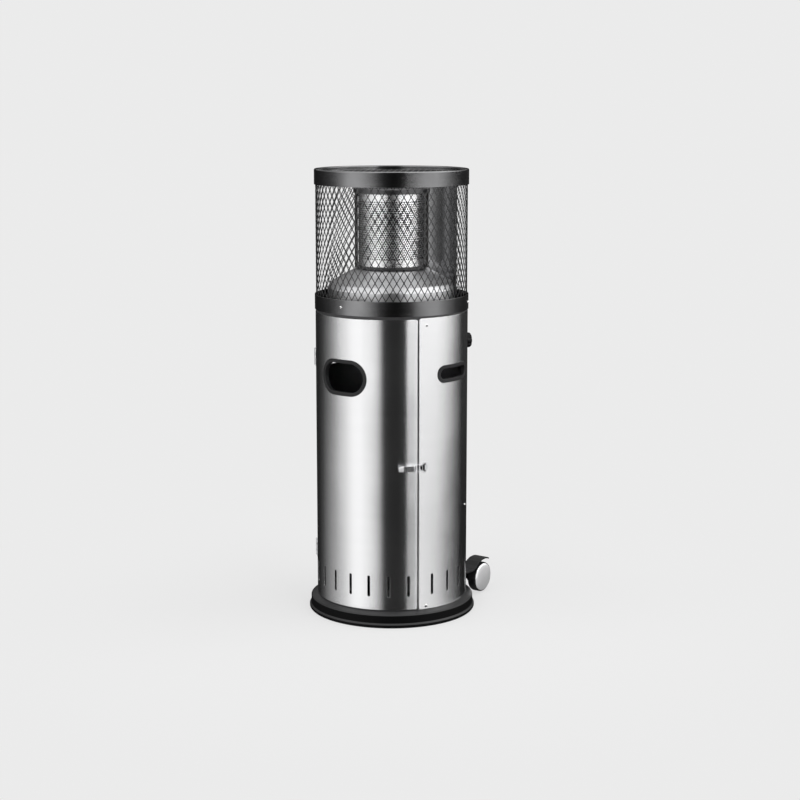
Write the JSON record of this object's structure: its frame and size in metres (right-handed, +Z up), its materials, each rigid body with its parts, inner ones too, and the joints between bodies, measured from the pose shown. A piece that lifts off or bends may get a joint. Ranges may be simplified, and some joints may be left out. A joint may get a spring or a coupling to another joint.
{
  "type": "outdoor gas heater",
  "caption": "Round stainless outdoor gas heater: cabinet with a hinged door for the gas bottle, perforated emitter behind a mesh guard, control knob and transport wheels.",
  "frame": {"origin": "centre of the base's flat underside, on the cabinet's axis", "axes": "+Z up, -Y towards the front (the door), +X to the right-hand carrying slot; the wheels' axles run along X at the back (+Y)"},
  "size_m": [0.435, 0.4895, 1.148],
  "materials": {
    "stainless_shell": "brushed round the cabinet, satin",
    "stainless_burner": "satin, spun",
    "stainless_fitting": "smooth, pressed",
    "polished_steel": "polished",
    "zinc_steel": "zinc plated",
    "black_enamel": "semi-gloss black coating",
    "black_mesh": "black coated expanded metal",
    "black_plastic": "fine-grained moulded plastic",
    "black_tyre": "solid black wheel",
    "silver_disc": "silver satin disc",
    "brass": "machined",
    "burner_iron": "dark, heat-blackened",
    "ceramic": "glazed insulator"
  },
  "bodies": {
    "heater": {"base_pan": "black_enamel", "rear_shell": "stainless_shell", "latch_jamb": "zinc_steel", "hinge_jamb": "zinc_steel", "burner_deck": "black_enamel", "lower_band": "black_enamel", "guard_mesh": "black_mesh", "top_band": "black_enamel", "top_grille": "black_mesh", "reflector_panel": "polished_steel", "burner_dome": "stainless_burner", "emitter_seat": "black_enamel", "emitter_screen": "stainless_burner", "emitter_cap": "black_enamel", "emitter_post_left": "black_enamel", "emitter_post_right": "black_enamel", "burner_head": "burner_iron", "mixing_tube": "zinc_steel", "burner_bracket": "zinc_steel", "injector": "brass", "gas_valve": "brass", "inlet_nipple": "brass", "gas_feed_pipe": "brass", "pilot_pipe": "brass", "pilot_burner": "brass", "thermocouple": "zinc_steel", "igniter_lead": "black_plastic", "igniter_electrode": "ceramic", "tilt_switch": "black_plastic", "knob_bezel": "zinc_steel", "handle_trim_left": "black_plastic", "handle_trim_right": "black_plastic", "hinge_leaf_fixed_lower": "stainless_fitting", "hinge_leaf_fixed_upper": "stainless_fitting", "hinge_pin_lower": "zinc_steel", "hinge_pin_upper": "zinc_steel", "latch_keeper": "stainless_fitting", "band_screw_front": "zinc_steel", "band_screw_left": "zinc_steel", "band_screw_right": "zinc_steel", "axle_stub_left": "zinc_steel", "axle_stub_right": "zinc_steel", "wheel_bracket_left": "black_plastic", "wheel_bracket_right": "black_plastic"},
    "door": {"door_panel": "stainless_shell", "door_opening_trim": "black_plastic", "hinge_leaf_door_lower": "stainless_fitting", "hinge_leaf_door_upper": "stainless_fitting", "latch_base": "stainless_fitting", "latch_pin": "zinc_steel"},
    "latch_lever": {"latch_lever": "stainless_fitting"},
    "latch_bail": {"latch_bail": "stainless_fitting"},
    "valve_plunger": {"valve_plunger": "zinc_steel"},
    "knob": {"control_knob": "black_plastic", "valve_stem": "zinc_steel"},
    "wheel_left": {"wheel_left": "black_tyre", "hub_disc_left": "silver_disc"},
    "wheel_right": {"wheel_right": "black_tyre", "hub_disc_right": "silver_disc"}
  },
  "joints": [
    {"name": "door_hinge", "type": "hinge", "parent": "heater", "child": "door", "pos_m": [-0.18048, -0.08803, 0.4045], "axis": [0, 0, -1], "range_deg": [0, 110]},
    {"name": "lever_swing", "type": "hinge", "parent": "door", "child": "latch_lever", "pos_m": [0.16237, -0.12218, 0.41], "axis": [0, 0, 1], "range_deg": [0, 100]},
    {"name": "bail_swing", "type": "hinge", "parent": "latch_lever", "child": "latch_bail", "pos_m": [0.14901, -0.13838, 0.41], "axis": [0, 0, 1], "range_deg": [-100, 0]},
    {"name": "knob_push", "type": "slide", "parent": "heater", "child": "valve_plunger", "axis": [-0.6157, -0.788, 0], "range_m": [0, 0.003], "stiffness_N_per_m": 500},
    {"name": "knob_turn", "type": "hinge", "parent": "valve_plunger", "child": "knob", "pos_m": [0.12067, 0.15445, 0.7], "axis": [0.6157, 0.788, 0], "range_deg": [0, 200]},
    {"name": "wheel_left_spin", "type": "hinge", "parent": "heater", "child": "wheel_left", "pos_m": [-0.1245, 0.232, 0.0435], "axis": [1, 0, 0], "continuous": true},
    {"name": "wheel_right_spin", "type": "hinge", "parent": "heater", "child": "wheel_right", "pos_m": [0.1245, 0.232, 0.0435], "axis": [1, 0, 0], "continuous": true}
  ],
  "couplings": [
    {"joint": "bail_swing", "follows": "lever_swing", "ratio": -1}
  ]
}
